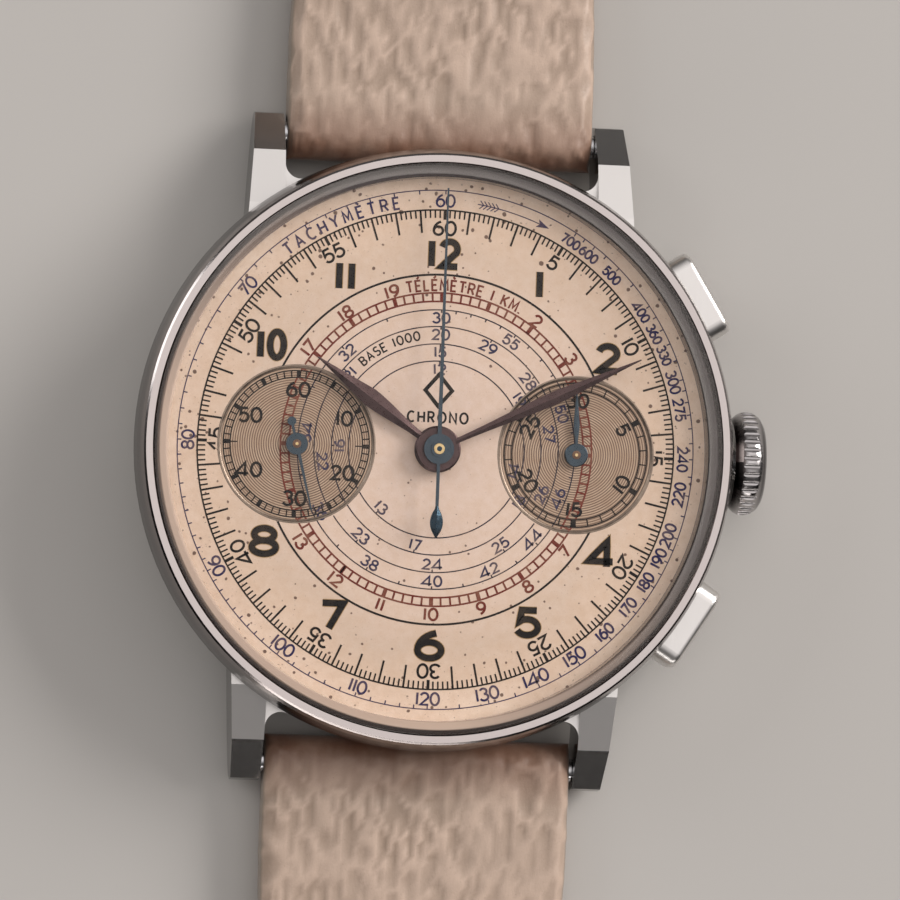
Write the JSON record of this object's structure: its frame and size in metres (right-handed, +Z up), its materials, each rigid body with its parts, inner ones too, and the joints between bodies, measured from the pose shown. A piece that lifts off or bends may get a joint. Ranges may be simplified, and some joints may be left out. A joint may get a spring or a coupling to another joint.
{
  "type": "chronograph wristwatch",
  "caption": "Hand-wound two-register chronograph wristwatch with side pushers, fluted crown and tapered leather strap, laid open with the dial up.",
  "frame": {"origin": "centre of the case back's outer face, which the watch lies on", "axes": "+Z up through the dial, +Y towards 12 o'clock and the buckle strap, +X towards the crown"},
  "size_m": [0.0404, 0.2292, 0.0117],
  "materials": {
    "case_steel": "worn satin and polished",
    "crystal": "clear acrylic",
    "dial_paint": "aged cream lacquer",
    "dark_hand": "oxidised",
    "blued_steel": "heat blued",
    "gilt_brass": "gilt",
    "movement_steel": "polished",
    "ruby": "polished ruby",
    "strap_leather": "grained",
    "buckle_steel": "polished"
  },
  "bodies": {
    "case": {"case_middle": "case_steel", "case_back": "case_steel", "bezel": "case_steel", "crystal": "crystal", "case_tubes": "case_steel", "spring_bars": "movement_steel", "dial": "dial_paint", "mainplate": "gilt_brass", "barrel_bridge": "gilt_brass", "train_bridge": "gilt_brass", "balance_cock": "gilt_brass", "pallet_cock": "gilt_brass", "chronograph_bridge": "gilt_brass", "jewels": "ruby", "plate_screws": "movement_steel"},
    "minute_hand_group": {"minute_hand": "dark_hand", "cannon_pinion": "movement_steel"},
    "minute_wheel_group": {"minute_wheel": "gilt_brass"},
    "hour_hand_group": {"hour_hand": "dark_hand", "hour_wheel": "gilt_brass"},
    "fourth_group": {"fourth_wheel": "gilt_brass", "driving_wheel": "gilt_brass", "running_seconds_hand": "blued_steel"},
    "third_group": {"third_wheel": "gilt_brass"},
    "center_group": {"center_wheel": "gilt_brass"},
    "barrel_group": {"mainspring_barrel": "gilt_brass", "mainspring": "movement_steel"},
    "escape_group": {"escape_wheel": "movement_steel"},
    "pallet_group": {"pallet_fork": "movement_steel"},
    "balance_group": {"balance_wheel": "gilt_brass", "hairspring": "blued_steel"},
    "runner_group": {"chronograph_runner": "gilt_brass", "chronograph_hand": "blued_steel"},
    "recorder_group": {"minute_recorder_wheel": "gilt_brass", "minute_counter_hand": "blued_steel"},
    "start_pusher_group": {"start_pusher": "case_steel"},
    "operating_lever_group": {"operating_lever": "movement_steel"},
    "coupling_lever_group": {"coupling_lever": "movement_steel"},
    "coupling_wheel_group": {"coupling_wheel": "gilt_brass"},
    "brake_lever_group": {"brake_lever": "movement_steel"},
    "column_wheel_group": {"column_wheel": "movement_steel"},
    "reset_pusher_group": {"reset_pusher": "case_steel"},
    "reset_hammer_group": {"reset_hammer": "movement_steel"},
    "sliding_pinion_group": {"sliding_pinion": "movement_steel"},
    "winding_pinion_group": {"winding_pinion": "movement_steel"},
    "crown_group": {"crown": "case_steel", "winding_stem": "movement_steel"},
    "crown_wheel_group": {"crown_wheel": "movement_steel"},
    "ratchet_group": {"ratchet_wheel": "movement_steel", "barrel_arbor": "movement_steel"},
    "setting_lever_group": {"setting_lever": "movement_steel"},
    "click_group": {"click": "movement_steel"},
    "strap_buckle_group": {"strap_buckle_side": "strap_leather", "fixed_keeper": "strap_leather"},
    "strap_hole_group": {"strap_hole_side": "strap_leather"},
    "buckle_group": {"buckle_frame": "buckle_steel", "buckle_bar": "buckle_steel"},
    "tongue_group": {"buckle_tongue": "buckle_steel"},
    "free_keeper_group": {"free_keeper": "strap_leather"}
  },
  "joints": [
    {"name": "hand_setting", "type": "hinge", "parent": "case", "child": "minute_hand_group", "pos_m": [0, 0, 0.004], "axis": [0, 0, -1], "continuous": true},
    {"name": "minute_wheel_turn", "type": "hinge", "parent": "case", "child": "minute_wheel_group", "pos_m": [0, 0.003, 0.004], "axis": [0, 0, -1], "continuous": true},
    {"name": "hour_hand_turn", "type": "hinge", "parent": "case", "child": "hour_hand_group", "pos_m": [0, 0, 0.004], "axis": [0, 0, -1], "continuous": true},
    {"name": "running_seconds", "type": "hinge", "parent": "case", "child": "fourth_group", "pos_m": [-0.00886, 0, 0.004], "axis": [0, 0, -1], "continuous": true},
    {"name": "third_wheel_turn", "type": "hinge", "parent": "case", "child": "third_group", "pos_m": [-0.00479, 0.00124, 0.004], "axis": [0, 0, -1], "continuous": true},
    {"name": "center_wheel_turn", "type": "hinge", "parent": "case", "child": "center_group", "pos_m": [0, 0, 0.004], "axis": [0, 0, -1], "continuous": true},
    {"name": "barrel_turn", "type": "hinge", "parent": "case", "child": "barrel_group", "pos_m": [0.00451, 0.00451, 0.004], "axis": [0, 0, -1], "continuous": true},
    {"name": "escape_wheel_turn", "type": "hinge", "parent": "case", "child": "escape_group", "pos_m": [-0.00955, -0.0039, 0.004], "axis": [0, 0, -1], "continuous": true},
    {"name": "pallet_fork_rock", "type": "hinge", "parent": "case", "child": "pallet_group", "pos_m": [-0.00807, -0.00566, 0.0043], "axis": [0, 0, 1], "range_deg": [-5, 5]},
    {"name": "balance_swing", "type": "hinge", "parent": "case", "child": "balance_group", "pos_m": [-0.00595, -0.00819, 0.0037], "axis": [0, 0, 1], "range_deg": [-220, 220], "stiffness_Nm_per_rad": 0.000001},
    {"name": "chronograph_seconds", "type": "hinge", "parent": "case", "child": "runner_group", "pos_m": [0, 0, 0.004], "axis": [0, 0, -1], "continuous": true},
    {"name": "minute_counter", "type": "hinge", "parent": "case", "child": "recorder_group", "pos_m": [0.00886, 0, 0.004], "axis": [0, 0, -1], "continuous": true},
    {"name": "start_press", "type": "slide", "parent": "case", "child": "start_pusher_group", "axis": [-0.848, -0.5299, 0], "range_m": [0, 0.0008], "stiffness_N_per_m": 300},
    {"name": "operating_lever_turn", "type": "hinge", "parent": "case", "child": "operating_lever_group", "pos_m": [0.0094, 0.0116, 0.0016], "axis": [0, 0, 1], "range_deg": [-9.94, 0.5]},
    {"name": "coupling_lever_turn", "type": "hinge", "parent": "case", "child": "coupling_lever_group", "pos_m": [-0.00886, 0, 0.0011], "axis": [0, 0, 1], "range_deg": [-3.5, 0.5]},
    {"name": "coupling_wheel_turn", "type": "hinge", "parent": "coupling_lever_group", "child": "coupling_wheel_group", "pos_m": [-0.00453, 0.00208, 0.004], "axis": [0, 0, -1], "continuous": true},
    {"name": "brake_lever_turn", "type": "hinge", "parent": "case", "child": "brake_lever_group", "pos_m": [0.0026, -0.0076, 0.0016], "axis": [0, 0, 1], "range_deg": [-5.5, 0.5]},
    {"name": "column_wheel_index", "type": "hinge", "parent": "case", "child": "column_wheel_group", "pos_m": [0.003, 0.012, 0.0015], "axis": [0, 0, 1], "range_deg": [-0.5, 31]},
    {"name": "reset_press", "type": "slide", "parent": "case", "child": "reset_pusher_group", "axis": [-0.848, 0.5299, 0], "range_m": [0, 0.0008], "stiffness_N_per_m": 300},
    {"name": "reset_hammer_slide", "type": "slide", "parent": "case", "child": "reset_hammer_group", "axis": [-0.848, 0.5299, 0], "range_m": [-0.00005, 0.00085]},
    {"name": "crown_turn", "type": "hinge", "parent": "case", "child": "sliding_pinion_group", "pos_m": [0.015, 0, 0.00375], "axis": [1, 0, 0], "continuous": true},
    {"name": "winding_pinion_turn", "type": "hinge", "parent": "case", "child": "winding_pinion_group", "pos_m": [0.0126, 0, 0.00375], "axis": [1, 0, 0], "continuous": true},
    {"name": "crown_pull", "type": "slide", "parent": "sliding_pinion_group", "child": "crown_group", "axis": [1, 0, 0], "range_m": [0, 0.0008]},
    {"name": "crown_wheel_turn", "type": "hinge", "parent": "case", "child": "crown_wheel_group", "pos_m": [0.0122, 0.0032, 0.004], "axis": [0, 0, 1], "continuous": true},
    {"name": "ratchet_wheel_turn", "type": "hinge", "parent": "case", "child": "ratchet_group", "pos_m": [0.00451, 0.00451, 0.004], "axis": [0, 0, 1], "continuous": true},
    {"name": "setting_lever_turn", "type": "hinge", "parent": "case", "child": "setting_lever_group", "pos_m": [0.0139, -0.0026, 0.00375], "axis": [0, 0, 1], "range_deg": [-25.5, 0.5]},
    {"name": "click_rock", "type": "hinge", "parent": "case", "child": "click_group", "pos_m": [-0.00109, 0.00801, 0.002], "axis": [0, 0, 1], "range_deg": [0, 8], "stiffness_Nm_per_rad": 0.00001},
    {"name": "buckle_strap_hinge", "type": "hinge", "parent": "case", "child": "strap_buckle_group", "pos_m": [0, 0.02, 0.0019], "axis": [1, 0, 0], "range_deg": [-80, 15]},
    {"name": "hole_strap_hinge", "type": "hinge", "parent": "case", "child": "strap_hole_group", "pos_m": [0, -0.02, 0.0019], "axis": [1, 0, 0], "range_deg": [-15, 80]},
    {"name": "buckle_hinge", "type": "hinge", "parent": "strap_buckle_group", "child": "buckle_group", "pos_m": [0, 0.088, 0.0017], "axis": [1, 0, 0], "range_deg": [-45, 30]},
    {"name": "tongue_hinge", "type": "hinge", "parent": "buckle_group", "child": "tongue_group", "pos_m": [0, 0.088, 0.0017], "axis": [1, 0, 0], "range_deg": [0, 70]},
    {"name": "keeper_slide", "type": "slide", "parent": "strap_buckle_group", "child": "free_keeper_group", "axis": [0, 1, 0], "range_m": [-0.005, 0.005]}
  ],
  "couplings": [
    {"joint": "minute_wheel_turn", "follows": "hand_setting", "ratio": -0.33333},
    {"joint": "hour_hand_turn", "follows": "hand_setting", "ratio": 0.083333},
    {"joint": "third_wheel_turn", "follows": "running_seconds", "ratio": -0.13333},
    {"joint": "center_wheel_turn", "follows": "running_seconds", "ratio": 0.016667},
    {"joint": "barrel_turn", "follows": "running_seconds", "ratio": -0.0022222},
    {"joint": "escape_wheel_turn", "follows": "running_seconds", "ratio": -10},
    {"joint": "minute_counter", "follows": "chronograph_seconds", "ratio": 0.033333},
    {"joint": "operating_lever_turn", "follows": "start_press", "rad_per_m": -205.93},
    {"joint": "coupling_lever_turn", "follows": "start_press", "rad_per_m": -65.45},
    {"joint": "coupling_wheel_turn", "follows": "running_seconds", "ratio": -2},
    {"joint": "brake_lever_turn", "follows": "start_press", "rad_per_m": -109.08},
    {"joint": "column_wheel_index", "follows": "start_press", "rad_per_m": 654.5},
    {"joint": "reset_hammer_slide", "follows": "reset_press", "ratio": 1},
    {"joint": "winding_pinion_turn", "follows": "crown_turn", "ratio": 1},
    {"joint": "crown_wheel_turn", "follows": "crown_turn", "ratio": 0.53333},
    {"joint": "ratchet_wheel_turn", "follows": "crown_turn", "ratio": -0.33333},
    {"joint": "setting_lever_turn", "follows": "crown_pull", "rad_per_m": -540.54}
  ]
}
